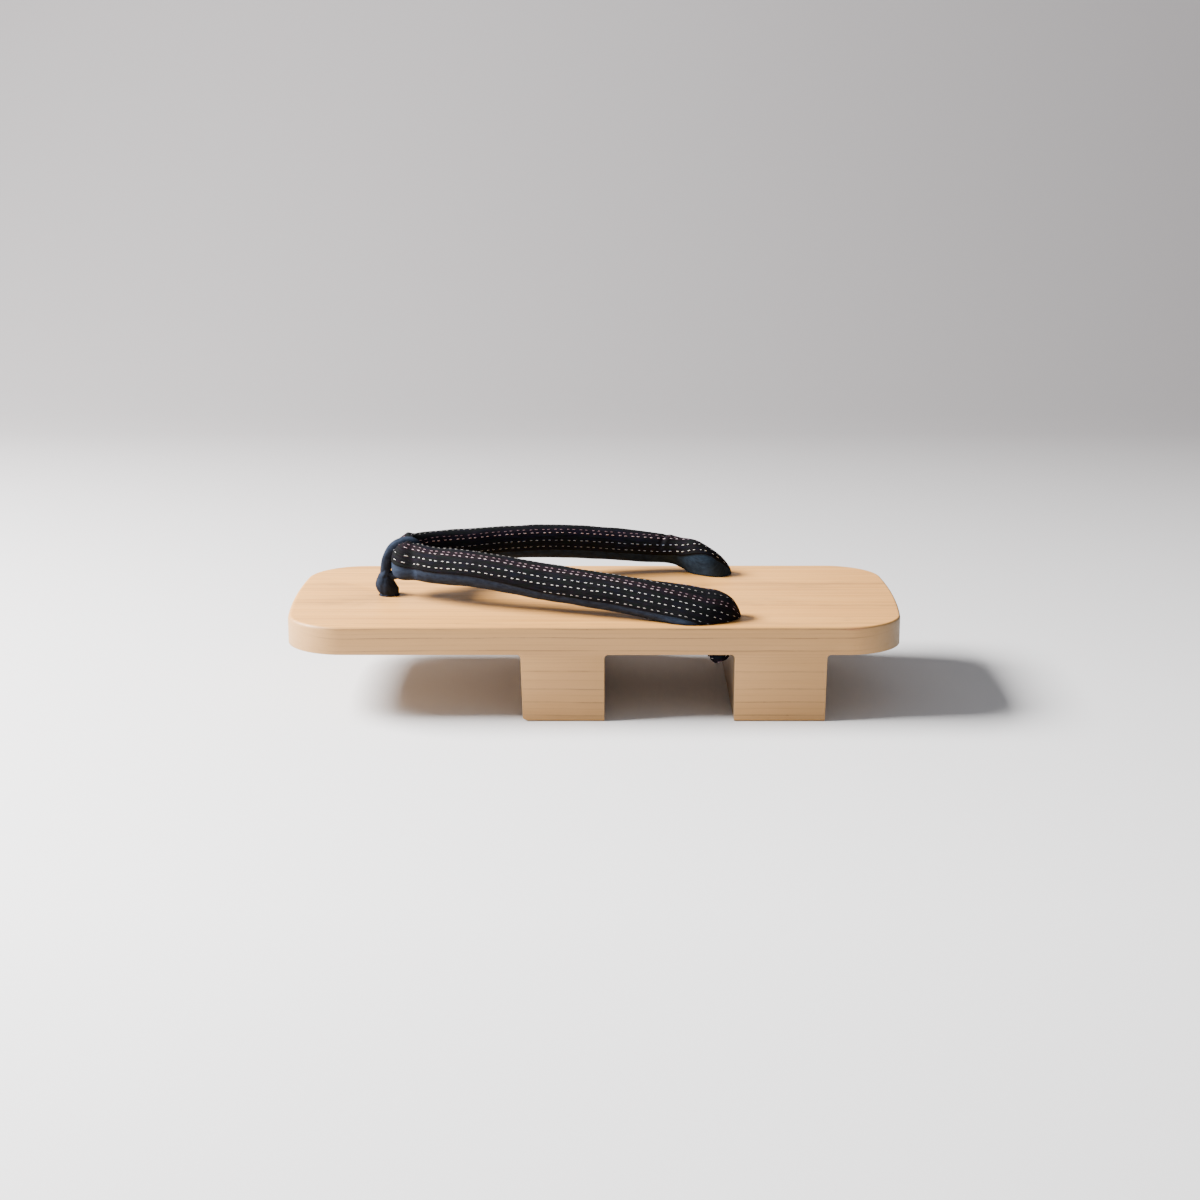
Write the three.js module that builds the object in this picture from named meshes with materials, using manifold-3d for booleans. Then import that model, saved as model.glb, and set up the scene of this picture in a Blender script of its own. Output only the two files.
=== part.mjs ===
// A geta: a wooden sandal with two teeth, a padded V strap and a toe thong.
// Millimetres, +Z up, floor at z = 0. The toe points to -X and the heel to +X.
// The wearer's left is -Y and the wearer's right is +Y.
import * as THREE from "three";
import { mergeVertices } from "three/addons/utils/BufferGeometryUtils.js";
import Module from "manifold-3d";

const wasm = await Module();
wasm.setup();

// Wooden block: one piece of wood, board and teeth together.
const LENGTH = 250;
const WIDTH = 106.8;
const HEIGHT = 38.8;
const BOARD_THICKNESS = 11.4;
const UNDERSIDE = HEIGHT - BOARD_THICKNESS;
const TOE_CORNER = 21;
const HEEL_CORNER = 20;
const END_BULGE = 3.9;
const TOP_ROUND = { toe: 1.7, heel: 0.9 };
const FOOT_ROUND = { toe: 0.8, heel: 0.8 };
const INNER_FILLET = 1.5;
const TOOTH_CHAMFER = { long: 2, high: 1.2 };
const CORNER_STEPS = 14;
const END_STEPS = 8;
const BEYOND = 30;

// Each tooth's faces along the length, at the board and at the floor.
const FRONT_TOOTH = { front: { board: -29.1, floor: -28.3 }, back: { board: 4.15, floor: 4.15 } };
const REAR_TOOTH = { front: { board: 55.8, floor: 55.8 }, back: { board: 92.4, floor: 92.0 } };

// Holes through the board.
const HOLE_RADIUS = 4.4;
const FRONT_HOLE_X = -85.5;
const REAR_HOLE = { x: 50.6, y: 37.2 };

// Clearance between neighbours.
const GAP = 0.3;
const STEM_RADIUS = HOLE_RADIUS - GAP;

// Strap: an oval tube, a row per section from the fold behind the toes to the rear hole.
// x along the length, y out from the centre line, z above the board's top, wide and thick
// the oval's long and short way, tilt the long way's angle from level, with its crest leaning inwards.
const STRAP_SIDES = 26;
const STRAP_RINGS = 40;
const LEFT_STRAP = [
  { x: -84.9, y: 2.2, z: 14.2, wide: 3.2, thick: 2.4, tilt: 78 },
  { x: -83.9, y: 2.8, z: 14.2, wide: 9.2, thick: 6.4, tilt: 77 },
  { x: -81.2, y: 3.7, z: 15.0, wide: 13.0, thick: 8.8, tilt: 75 },
  { x: -77.0, y: 4.9, z: 15.6, wide: 14.6, thick: 9.6, tilt: 72 },
  { x: -72.0, y: 8.2, z: 15.4, wide: 15.3, thick: 10.6, tilt: 69 },
  { x: -66.0, y: 11.6, z: 15.1, wide: 15.1, thick: 11.2, tilt: 66 },
  { x: -52.0, y: 17.2, z: 15.1, wide: 14.9, thick: 12.0, tilt: 62 },
  { x: -38.0, y: 21.9, z: 14.1, wide: 15.1, thick: 12.0, tilt: 60 },
  { x: -22.0, y: 26.6, z: 12.2, wide: 15.4, thick: 12.0, tilt: 56 },
  { x: -6.0, y: 31.3, z: 10.7, wide: 15.7, thick: 12.0, tilt: 51 },
  { x: 10.0, y: 35.7, z: 9.0, wide: 16.0, thick: 12.0, tilt: 46 },
  { x: 24.0, y: 39.6, z: 7.3, wide: 17.8, thick: 11.6, tilt: 41 },
  { x: 36.0, y: 41.8, z: 5.4, wide: 21.0, thick: 10.8, tilt: 37 },
  { x: 44.0, y: 41.6, z: 4.65, wide: 19.2, thick: 10.7, tilt: 35 },
  { x: 50.0, y: 40.3, z: 4.15, wide: 16.6, thick: 11.0, tilt: 33 },
  { x: 55.0, y: 38.9, z: 2.65, wide: 12.5, thick: 10.2, tilt: 30 },
  { x: 57.8, y: 37.7, z: 1.1, wide: 6.6, thick: 5.8, tilt: 28 },
  { x: 58.9, y: 37.5, z: 0.5, wide: 1.6, thick: 1.4, tilt: 28 },
];
const RIGHT_STRAP = [
  { x: -84.4, y: 2.2, z: 15.4, wide: 3.2, thick: 2.4, tilt: 78 },
  { x: -83.4, y: 2.8, z: 15.4, wide: 9.2, thick: 6.4, tilt: 77 },
  { x: -80.8, y: 3.7, z: 16.4, wide: 13.0, thick: 8.8, tilt: 75 },
  { x: -76.8, y: 4.9, z: 17.3, wide: 14.6, thick: 9.6, tilt: 72 },
  { x: -72.0, y: 8.5, z: 17.6, wide: 14.9, thick: 10.5, tilt: 69 },
  { x: -66.0, y: 12.8, z: 17.5, wide: 14.8, thick: 11.2, tilt: 66 },
  { x: -52.0, y: 19.8, z: 16.8, wide: 15.0, thick: 12.0, tilt: 62 },
  { x: -38.0, y: 26.3, z: 16.3, wide: 15.6, thick: 12.0, tilt: 60 },
  { x: -22.0, y: 32.0, z: 15.6, wide: 16.0, thick: 12.0, tilt: 58 },
  { x: -6.0, y: 36.8, z: 14.2, wide: 16.5, thick: 12.0, tilt: 56 },
  { x: 10.0, y: 40.4, z: 12.3, wide: 15.9, thick: 12.0, tilt: 56 },
  { x: 24.0, y: 42.0, z: 10.7, wide: 14.3, thick: 11.8, tilt: 58 },
  { x: 33.0, y: 41.8, z: 9.8, wide: 13.1, thick: 11.4, tilt: 62 },
  { x: 38.0, y: 40.8, z: 8.5, wide: 14.2, thick: 11.2, tilt: 66 },
  { x: 44.0, y: 38.2, z: 6.6, wide: 16.8, thick: 11.6, tilt: 74 },
  { x: 50.0, y: 36.8, z: 4.6, wide: 14.0, thick: 13.2, tilt: 78 },
  { x: 55.0, y: 36.6, z: 2.3, wide: 10.6, thick: 11.2, tilt: 80 },
  { x: 58.2, y: 36.6, z: 0.9, wide: 6.0, thick: 5.6, tilt: 82 },
  { x: 59.4, y: 36.4, z: 0.5, wide: 1.6, thick: 1.4, tilt: 82 },
];
// Strap ends, tied under the board in front of the rear tooth.
const STRAP_KNOT = { x: 50.0, z: -15.2, long: 5.2, across: 7.2, high: 4.3 };
const NECK_TOP = 3;

// Thong: a flat band looped round the fold of the strap, a row per bend, going up in front,
// over the fold, down behind it and back below it. z above the board's top.
const BAND = { wide: 4.6, thick: 3.2 };
const BAND_SIDES = 12;
const BAND_STEPS = 48;
const BAND_LOOP = [
  { x: -86.8, z: 8.6 },
  { x: -87.0, z: 12.0 },
  { x: -86.3, z: 16.0 },
  { x: -84.4, z: 19.7 },
  { x: -81.6, z: 22.0 },
  { x: -77.8, z: 22.9 },
  { x: -74.6, z: 21.8 },
  { x: -72.6, z: 18.8 },
  { x: -72.2, z: 14.6 },
  { x: -74.0, z: 10.6 },
  { x: -78.2, z: 8.4 },
  { x: -82.8, z: 7.2 },
];
// The two strands of the loop swell side by side on the board.
const BULB_LOBES = [
  { x: -87.3, z: 4.9, long: 3.9, across: 4.3, high: 6.1 },
  { x: -84.9, z: 4.4, long: 3.6, across: 4.5, high: 5.3 },
];
// The thong's ends, tied under the board.
const THONG_KNOT = { x: FRONT_HOLE_X, z: -15.4, long: 7.6, across: 7.6, high: 4.6 };
const ROUND_SEGMENTS = 28;

// A closed geometry as a solid, with its faces turned outwards.
function toSolid(geometry) {
  const bare = geometry.clone();
  bare.deleteAttribute("normal");
  bare.deleteAttribute("uv");
  const merged = mergeVertices(bare, 1e-4);
  const points = merged.attributes.position.array;
  const corners = new Uint32Array(merged.index.array);
  const solid = new wasm.Manifold(
    new wasm.Mesh({ numProp: 3, vertProperties: points, triVerts: corners }),
  );
  if (solid.volume() >= 0) {
    return solid;
  }
  for (let i = 0; i < corners.length; i += 3) {
    [corners[i + 1], corners[i + 2]] = [corners[i + 2], corners[i + 1]];
  }
  return new wasm.Manifold(
    new wasm.Mesh({ numProp: 3, vertProperties: points, triVerts: corners }),
  );
}

// A named mesh of a solid.
function toMesh(solid, name, look) {
  const mesh = solid.getMesh();
  const geometry = new THREE.BufferGeometry();
  geometry.setAttribute("position", new THREE.BufferAttribute(mesh.vertProperties, 3));
  geometry.setIndex(new THREE.BufferAttribute(mesh.triVerts, 1));
  geometry.computeVertexNormals();
  const made = new THREE.Mesh(geometry, new THREE.MeshStandardMaterial(look));
  made.name = name;
  return made;
}

// The board's outline from above: a rounded rectangle whose ends bulge a little.
function boardOutline() {
  const corners = [
    { end: 1, side: -1, radius: HEEL_CORNER, start: -Math.PI / 2 },
    { end: 1, side: 1, radius: HEEL_CORNER, start: 0 },
    { end: -1, side: 1, radius: TOE_CORNER, start: Math.PI / 2 },
    { end: -1, side: -1, radius: TOE_CORNER, start: Math.PI },
  ];
  const points = [];
  corners.forEach((corner, index) => {
    const cx = corner.end * (LENGTH / 2 - corner.radius);
    const cy = corner.side * (WIDTH / 2 - corner.radius);
    for (let i = 0; i <= CORNER_STEPS; i += 1) {
      const angle = corner.start + (i / CORNER_STEPS) * (Math.PI / 2);
      points.push([cx + corner.radius * Math.cos(angle), cy + corner.radius * Math.sin(angle)]);
    }
    if (index % 2 === 0) {
      const x = corner.end * (LENGTH / 2);
      for (let i = 1; i < END_STEPS; i += 1) {
        points.push([x, cy * (1 - (2 * i) / END_STEPS)]);
      }
    }
  });
  const bulged = points.map(([x, y]) => {
    const pull = END_BULGE * ((2 * y) / WIDTH) ** 2;
    return new THREE.Vector2(x - Math.sign(x) * pull, y);
  });
  return new THREE.Shape(bulged);
}

// The level direction out of the board at a place on its edge.
function outOfBoard(x, y) {
  const radius = x > 0 ? HEEL_CORNER : TOE_CORNER;
  const pastEnd = Math.max(0, Math.abs(x) - (LENGTH / 2 - radius));
  const pastSide = Math.max(0, Math.abs(y) - (WIDTH / 2 - radius));
  return new THREE.Vector2(Math.sign(x) * pastEnd, Math.sign(y) * pastSide).normalize();
}

// The outline raised from one height to another, with both edges rounded over.
// The top edge's rounding goes evenly from its size at the toe to its size at the heel.
function raisedOutline(low, high, round) {
  const geometry = new THREE.ExtrudeGeometry(boardOutline(), {
    depth: high - low - 2 * round.toe,
    bevelEnabled: true,
    bevelThickness: round.toe,
    bevelSize: round.toe,
    bevelOffset: -round.toe,
    bevelSegments: 5,
  });
  geometry.translate(0, 0, low + round.toe);
  const position = geometry.attributes.position;
  for (let i = 0; i < position.count; i += 1) {
    const x = position.getX(i);
    const y = position.getY(i);
    const below = high - position.getZ(i);
    const rise = Math.min(round.toe, Math.max(0, round.toe - below));
    const inset = round.toe - Math.sqrt(round.toe ** 2 - rise ** 2);
    const keep = 1 + (round.heel / round.toe - 1) * (x / LENGTH + 0.5);
    const out = outOfBoard(x, y).multiplyScalar(inset * (1 - keep));
    const depth = below - Math.min(below, round.toe) * (1 - keep);
    position.setXYZ(i, x + out.x, y + out.y, high - depth);
  }
  return toSolid(geometry);
}

// The open space between two tooth faces, right across the block; a missing face leaves it open.
// On the front of the front tooth the floor edge is chamfered.
function spaceBetween(left, right, chamfer) {
  const far = LENGTH / 2 + BEYOND;
  const shape = new THREE.Shape();
  const low = -BEYOND;
  if (left) {
    shape.moveTo(left.floor, low);
    shape.lineTo(left.floor, 0);
    shape.lineTo(left.board, UNDERSIDE - INNER_FILLET);
    shape.absarc(
      left.board + INNER_FILLET,
      UNDERSIDE - INNER_FILLET,
      INNER_FILLET,
      Math.PI,
      Math.PI / 2,
      true,
    );
  } else {
    shape.moveTo(-far, low);
    shape.lineTo(-far, UNDERSIDE);
  }
  if (right) {
    shape.lineTo(right.board - INNER_FILLET, UNDERSIDE);
    shape.absarc(
      right.board - INNER_FILLET,
      UNDERSIDE - INNER_FILLET,
      INNER_FILLET,
      Math.PI / 2,
      0,
      true,
    );
    shape.lineTo(right.floor, chamfer.high);
    shape.lineTo(right.floor + chamfer.long, 0);
    shape.lineTo(right.floor + chamfer.long, low);
  } else {
    shape.lineTo(far, UNDERSIDE);
    shape.lineTo(far, low);
  }
  const across = WIDTH + 2 * BEYOND;
  const geometry = new THREE.ExtrudeGeometry(shape, {
    depth: across,
    bevelEnabled: false,
    curveSegments: 6,
  });
  geometry.rotateX(Math.PI / 2);
  geometry.translate(0, across / 2, 0);
  return toSolid(geometry);
}

// An upright round bar from one height to another.
function uprightBar(x, y, radius, low, high) {
  const geometry = new THREE.CylinderGeometry(radius, radius, high - low, ROUND_SEGMENTS);
  geometry.rotateX(Math.PI / 2);
  geometry.translate(x, y, (low + high) / 2);
  return toSolid(geometry);
}

// A ball stretched along each axis, standing on the board's top as its zero height.
function stretchedBall(ball, y, grow) {
  const geometry = new THREE.SphereGeometry(1, ROUND_SEGMENTS, ROUND_SEGMENTS / 2);
  geometry.rotateX(Math.PI / 2);
  geometry.scale(ball.long + grow, ball.across + grow, ball.high + grow);
  geometry.translate(ball.x, y, HEIGHT + ball.z);
  return toSolid(geometry);
}

// Everything between two heights.
function layer(low, high) {
  const geometry = new THREE.BoxGeometry(2 * LENGTH, 2 * LENGTH, high - low);
  geometry.translate(0, 0, (low + high) / 2);
  return toSolid(geometry);
}

// One half of the strap, from its table of oval sections. Side is -1 or 1.
function strapHalf(rows, side) {
  const path = new THREE.CatmullRomCurve3(rows.map((row) => new THREE.Vector3(row.x, row.y, row.z)));
  const sizes = new THREE.CatmullRomCurve3(
    rows.map((row) => new THREE.Vector3(row.wide, row.thick, row.tilt)),
    false,
    "catmullrom",
    0.5,
  );
  const geometry = new THREE.CylinderGeometry(1, 1, 1, STRAP_SIDES, STRAP_RINGS);
  const position = geometry.attributes.position;
  for (let i = 0; i < position.count; i += 1) {
    const along = position.getY(i) + 0.5;
    const middle = path.getPoint(along);
    const size = sizes.getPoint(along);
    const tilt = THREE.MathUtils.degToRad(size.z);
    const crest = (position.getX(i) * size.x) / 2;
    const flank = (position.getZ(i) * size.y) / 2;
    const inwards = crest * Math.cos(tilt) - flank * Math.sin(tilt);
    const upwards = crest * Math.sin(tilt) + flank * Math.cos(tilt);
    position.setXYZ(i, middle.x, side * (middle.y - inwards), HEIGHT + middle.z + upwards);
  }
  return toSolid(geometry);
}

// The thong's band round the fold, made thicker all round by grow.
function bandLoop(grow) {
  const path = new THREE.CatmullRomCurve3(
    BAND_LOOP.map((row) => new THREE.Vector3(row.x, 0, HEIGHT + row.z)),
    true,
  );
  const across = new THREE.Vector3(0, 1, 0);
  const geometry = new THREE.TorusGeometry(1, 0.5, BAND_SIDES, BAND_STEPS);
  const position = geometry.attributes.position;
  for (let i = 0; i < position.count; i += 1) {
    const px = position.getX(i);
    const py = position.getY(i);
    const along = (Math.atan2(py, px) / (2 * Math.PI) + 1) % 1;
    const out = (Math.hypot(px, py) - 1) * (BAND.thick + 2 * grow);
    const sideways = position.getZ(i) * (BAND.wide + 2 * grow);
    const outwards = new THREE.Vector3().crossVectors(path.getTangent(along), across);
    const point = path.getPoint(along).addScaledVector(outwards, out).addScaledVector(across, sideways);
    position.setXYZ(i, point.x, point.y, point.z);
  }
  return toSolid(geometry);
}

function makeBlock() {
  const rounded = raisedOutline(-BEYOND, HEIGHT, TOP_ROUND);
  const footed = raisedOutline(0, HEIGHT + BEYOND, FOOT_ROUND);
  const noChamfer = { long: 0, high: 0 };
  let block = rounded.intersect(footed);
  block = block.subtract(spaceBetween(null, FRONT_TOOTH.front, TOOTH_CHAMFER));
  block = block.subtract(spaceBetween(FRONT_TOOTH.back, REAR_TOOTH.front, noChamfer));
  block = block.subtract(spaceBetween(REAR_TOOTH.back, null, noChamfer));
  const holes = [
    [FRONT_HOLE_X, 0],
    [REAR_HOLE.x, -REAR_HOLE.y],
    [REAR_HOLE.x, REAR_HOLE.y],
  ];
  holes.forEach(([x, y]) => {
    block = block.subtract(uprightBar(x, y, HOLE_RADIUS, 0, HEIGHT + BEYOND));
  });
  return block;
}

// A knot under the board with its neck going up through the hole.
function tiedEnd(knot, y, x, neckTop) {
  const below = layer(-BEYOND, UNDERSIDE - GAP);
  const ball = stretchedBall(knot, y, 0).intersect(below);
  return ball.add(uprightBar(x, y, STEM_RADIUS, HEIGHT + knot.z, HEIGHT + neckTop));
}

function thongAbove(grow) {
  const onBoard = layer(HEIGHT + GAP, HEIGHT + BEYOND);
  let thong = bandLoop(grow);
  BULB_LOBES.forEach((lobe) => {
    thong = thong.add(stretchedBall(lobe, 0, grow));
  });
  return thong.intersect(onBoard);
}

function makeThong() {
  return thongAbove(0).add(tiedEnd(THONG_KNOT, 0, FRONT_HOLE_X, BULB_LOBES[1].z));
}

function makeStrap() {
  const onBoard = layer(HEIGHT + GAP, HEIGHT + BEYOND);
  let strap = strapHalf(LEFT_STRAP, -1).add(strapHalf(RIGHT_STRAP, 1));
  strap = strap.subtract(thongAbove(GAP)).intersect(onBoard);
  [-1, 1].forEach((side) => {
    strap = strap.add(tiedEnd(STRAP_KNOT, side * REAR_HOLE.y, REAR_HOLE.x, NECK_TOP));
  });
  return strap;
}

const geta = new THREE.Group();
geta.add(toMesh(makeBlock(), "dai_block", { color: 0xe2c3a0, roughness: 0.6, metalness: 0 }));
geta.add(toMesh(makeStrap(), "hanao_strap", { color: 0x191a22, roughness: 0.85, metalness: 0 }));
geta.add(toMesh(makeThong(), "maetsubo_thong", { color: 0x2a3242, roughness: 0.9, metalness: 0 }));

export default geta;
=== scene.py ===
import math

import bmesh
import bpy
import numpy as np
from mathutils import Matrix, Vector


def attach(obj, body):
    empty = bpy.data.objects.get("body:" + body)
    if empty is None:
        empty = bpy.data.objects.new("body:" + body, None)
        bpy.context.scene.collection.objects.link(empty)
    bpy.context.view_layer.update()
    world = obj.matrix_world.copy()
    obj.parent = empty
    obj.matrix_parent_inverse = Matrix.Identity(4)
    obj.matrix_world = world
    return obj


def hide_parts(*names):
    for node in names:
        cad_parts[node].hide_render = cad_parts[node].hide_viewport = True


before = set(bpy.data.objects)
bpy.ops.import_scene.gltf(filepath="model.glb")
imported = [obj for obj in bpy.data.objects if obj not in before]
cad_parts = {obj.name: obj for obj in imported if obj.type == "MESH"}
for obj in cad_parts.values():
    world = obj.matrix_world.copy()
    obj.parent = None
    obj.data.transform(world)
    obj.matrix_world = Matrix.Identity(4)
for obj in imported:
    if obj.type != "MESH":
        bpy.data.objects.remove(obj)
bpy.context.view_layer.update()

# Lengths are in millimetres. Only the floor, the light, the camera and bump distances are in metres.
# The toe points to -X and the side that the camera sees is -Y.
MM = 0.001
HEIGHT = 38.8
BOARD_THICKNESS = 11.4
CLEAR = 0.3

# Strap sections from the fold behind the toes to the rear hole:
# x, y out from the centre line, z above the board, oval's long way, short way, tilt of the long way,
# how far the pattern's middle lies outwards of the crest, and the cover's width to its outer edge.
LEFT_ROWS = [
    (-72.0, 8.2, 15.4, 15.3, 10.6, 69, 0.8, 13.1),
    (-66.0, 11.6, 15.1, 15.1, 11.2, 66, 1.2, 13.1),
    (-52.0, 17.2, 15.1, 14.9, 12.0, 62, 1.8, 13.2),
    (-38.0, 21.9, 14.1, 15.1, 12.0, 60, 2.3, 13.7),
    (-22.0, 26.6, 12.2, 15.4, 12.0, 56, 2.8, 14.6),
    (-6.0, 31.3, 10.7, 15.7, 12.0, 51, 3.1, 15.2),
    (10.0, 35.7, 9.0, 16.0, 12.0, 46, 3.6, 15.2),
    (24.0, 39.6, 7.3, 17.8, 11.6, 41, 5.2, 15.2),
    (36.0, 41.8, 5.4, 21.0, 10.8, 37, 6.9, 15.3),
    (44.0, 41.6, 4.65, 19.2, 10.7, 35, 8.0, 15.6),
    (50.0, 40.3, 4.15, 16.6, 11.0, 33, 8.4, 16.2),
    (55.0, 38.9, 2.65, 12.5, 10.2, 30, 7.4, 16.5),
    (57.8, 37.7, 1.1, 6.6, 5.8, 28, 4.6, 16.5),
    (58.9, 37.5, 0.5, 1.6, 1.4, 28, 1.2, 16.5),
]
RIGHT_ROWS = [
    (-72.0, 8.5, 17.6, 14.9, 10.5, 69, 0.2, 13.1),
    (-66.0, 12.8, 17.5, 14.8, 11.2, 66, 1.0, 13.1),
    (-52.0, 19.8, 16.8, 15.0, 12.0, 62, 1.6, 13.2),
    (-38.0, 26.3, 16.3, 15.6, 12.0, 60, 2.1, 13.3),
    (-22.0, 32.0, 15.6, 16.0, 12.0, 58, 2.6, 13.8),
    (-6.0, 36.8, 14.2, 16.5, 12.0, 56, 2.8, 14.2),
    (10.0, 40.4, 12.3, 15.9, 12.0, 56, 3.1, 14.6),
    (24.0, 42.0, 10.7, 14.3, 11.8, 58, 3.8, 14.8),
    (33.0, 41.8, 9.8, 13.1, 11.4, 62, 4.3, 15.0),
    (38.0, 40.8, 8.5, 14.2, 11.2, 66, 5.2, 15.0),
    (44.0, 38.2, 6.6, 16.8, 11.6, 74, 6.6, 15.0),
    (50.0, 36.8, 4.6, 14.0, 13.2, 78, 8.4, 15.0),
    (55.0, 36.6, 2.3, 10.6, 11.2, 80, 7.4, 15.0),
    (58.2, 36.6, 0.9, 6.0, 5.6, 82, 4.0, 15.0),
    (59.4, 36.4, 0.5, 1.6, 1.4, 82, 1.2, 15.0),
]
# The fold: turn from the left half to the right half in degrees, z, long way, short way, tilt, pattern.
FOLD_MIDDLE_X = -75.0
FOLD_REACH = (5.0, 5.8)
FOLD_EDGE = 13.1
FOLD_ROWS = [
    (0, 15.2, 15.2, 9.8, 73, 0.2),
    (35, 14.9, 15.0, 9.7, 78, -1.2),
    (70, 14.7, 14.4, 9.5, 84, -3.0),
    (110, 15.3, 14.4, 9.5, 84, -3.0),
    (145, 16.8, 14.8, 9.7, 78, -1.2),
    (180, 17.5, 14.9, 9.8, 73, 0.2),
]
# The section is a little squarer round the fold.
FOLD_SQUARE = {"more": 0.7, "width": 11.0}
INNER_EDGE = 12.8
HEM = 0.28

# Columns of a ring, which is one section of the strap. A ring lies every RING_STEP along it.
X, Y, Z, WIDE, THICK, TILT, HEADING, MIDDLE, EDGE = range(9)
RING_STEP = 0.45
ROW_STEPS = 24
OVAL_POINTS = 721
COVER_STEPS = 58
LINING_STEPS = 20
# The pattern has its full width where the strap's girth is at least this.
FULL_GIRTH = 40.0

# Soft unevenness of the filling: height, wave's length along the strap, slant across it, and phase.
FILLING_WAVES = [
    (0.06, 5.7, 0.35, 0.0),
    (0.05, 3.1, -0.5, 1.3),
    (0.04, 1.9, 0.9, 0.4),
]
# The thong's band pinches the fold, most on its crest, and the filling stands up on both sides of it.
PINCH = {"reach": 2.6, "round": 0.2, "crest": 0.9, "crest_width": 5.0}
BESIDE_PINCH = {"high": 1.2, "away": 5.4, "width": 2.2, "crest_width": 6.0}
# Creases fan out from a point inside the fold.
CREASES = {"high": 0.22, "turns": 17.0, "phase": 0.6, "inside": 5.0, "away": 8.0, "width": 3.2, "from": -4}
# One slanting dent with a raised lip on the right half, near its rear end.
DENT = {"x": 31.5, "slant": 0.35, "deep": 0.5, "width": 1.0, "middle": -4.0, "reach": 5.0}
DENT_LIP = {"away": 2.0, "high": 0.3, "width": 1.2}
# This unevenness fades out where the strap gets thin, a little later than its pattern narrows.
SWELL_GRIP = 1.2
# The filling spreads where the strap is pressed on the board: below this height, from this x backwards.
SQUASH = {"below": 4.5, "out": 0.8, "x": 26, "reach": 10}

# Rows of woven dashes: distance from the pattern's middle, thread, phase, and dashes in pairs or singly.
DASH_ROWS = [
    (0.0, "grey", 0.20, False),
    (3.5, "rose", 0.00, True),
    (5.0, "blush", 0.11, True),
    (8.2, "white", 0.05, True),
    (11.0, "cream", 0.58, True),
    (14.1, "grey", 0.10, True),
]
PAIR_PITCH = 5.6
PAIR_APART = 2.4
SINGLE_PITCH = 2.6
DASH = {"long": 1.32, "wide": 0.32, "high": 0.08, "sunk": 0.08}
DASH_GRID = (7, 5)
# The rows stop short of the strap's ends, and each dash is placed a little unevenly.
ROW_END = 1.0
DASH_SEED = 7
DASH_SHAKE = {"along": 0.06, "across": 0.04, "long": 0.07, "lift": 0.12}
# Dashes get smaller towards the fold and the rear ends: distances, and sizes there.
SMALL_AT_FOLD = ((2.0, 13.0), (0.62, 1.0))
SMALL_AT_END = ((12.0, 28.0), (0.78, 1.0))
# They get smaller with the pattern too: the least size, and what its full width adds.
SMALL_IN_GRIP = (0.35, 0.75)
# Where no dash lies: rings next to the ends, thin ends, the cover's edges, and under the band.
NO_DASH = {"rings": 3, "grip": 0.45, "edge": 0.5, "band_along": 1.6, "band_across": 8}
# Pale dashes on the right half's inner side get a dim bluish thread as painted shade, but not on the last
# stretch.
PAINTED_SHADE_DASHES = {"across": -6, "rear": 28}

# The thong's band round the fold (x, z above the board).
BAND_LOOP = [
    (-86.6, 8.6), (-86.6, 12.0), (-85.9, 15.8), (-84.0, 19.3), (-81.2, 21.6), (-77.8, 22.6),
    (-74.6, 21.6), (-72.7, 18.8), (-72.4, 14.8), (-74.2, 11.6), (-78.5, 9.8), (-83.0, 8.2),
]
BAND = {"wide": 4.6, "thick": 4.5, "square": 0.8, "steps": 16, "sides": 32}
# The band is narrower behind the fold and thinner below it.
BAND_BEHIND = {"x": -72.0, "width": 3.0, "less": 0.2}
BAND_BELOW = {"z": 9.0, "width": 3.0, "less": 0.3, "x": -84}
BAND_GROOVE = {"deep": 0.3, "place": 0.7, "sway": 0.3, "sway_length": 6.0, "width": 0.45}
BAND_RIPPLE = {"high": 0.07, "length": 1.7, "twist": 3}
# The swelling on the board: z above the board, middle x, half its length and half its breadth.
BULB = [
    (0.3, -85.5, 3.0, 3.4),
    (1.1, -85.8, 4.0, 4.1),
    (2.6, -86.1, 4.6, 4.5),
    (5.0, -87.0, 4.2, 4.4),
    (8.0, -87.3, 2.9, 3.4),
    (10.3, -86.7, 2.1, 2.5),
    (12.0, -86.8, 1.6, 2.1),
]
BULB_GRID = {"steps": 7, "sides": 64}
# Two folds run up the swelling (angle at its foot, turn for each millimetre up), and one crease goes round.
BULB_FOLDS = [(4.1, 0.09), (1.9, 0.05)]
BULB_FOLD = {"width": 0.2, "deep": 0.045}
BULB_CREASE = {"z": 8.6, "slope": 1.1, "angle": 3.9, "width": 0.5, "deep": 0.06}
BULB_RIPPLE = {"high": 0.012, "up": 1.3, "round": 3}

# Knots under the board, and the necks that join them to what lies above.
THONG_KNOT = {"x": -85.5, "y": 0.0, "long": 7.4, "across": 7.4, "high": 4.0, "cord": 2.4, "drop": 0.0}
STRAP_KNOTS = [
    {"x": 50.0, "y": side * 37.2, "long": 5.1, "across": 7.1, "high": 2.75, "cord": 2.1, "drop": 0.65}
    for side in (-1, 1)
]
KNOT_DEPTH = 14.6
KNOT_CEILING = HEIGHT - BOARD_THICKNESS - CLEAR
KNOT_STEPS = 150
KNOT_RIPPLE = {"deep": 0.06, "count": 5, "sway": 0.8, "turns": 3}
KNOT_THREADS = ("white", "cream", "blush", "white", "cream", "rose")
KNOT_DASH = {"long": 0.6, "wide": 0.8, "stand": 1.05, "start": 1.0, "stagger": 0.7, "end": 2.0}
NECK = {"radius": 4.1, "strap_x": 50.6, "strap_top": 1.0, "thong_top": 3.0, "flutes": 9, "flute": 0.05}

# Millimetres of cloth between neighbouring points, for the weave.
CLOTH_STEP = {"knot": 0.45, "neck_up": 1.2, "neck_round": 0.7, "band": 0.42, "bulb": 0.45}

# Hand-sanded edges of the block: flat, sharp and smooth are angles in degrees, and weld is in metres.
SANDING = {"weld": 1e-6, "flat": 0.6, "sharp": 38, "smooth": 32, "offset": 0.45, "segments": 3}

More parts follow.
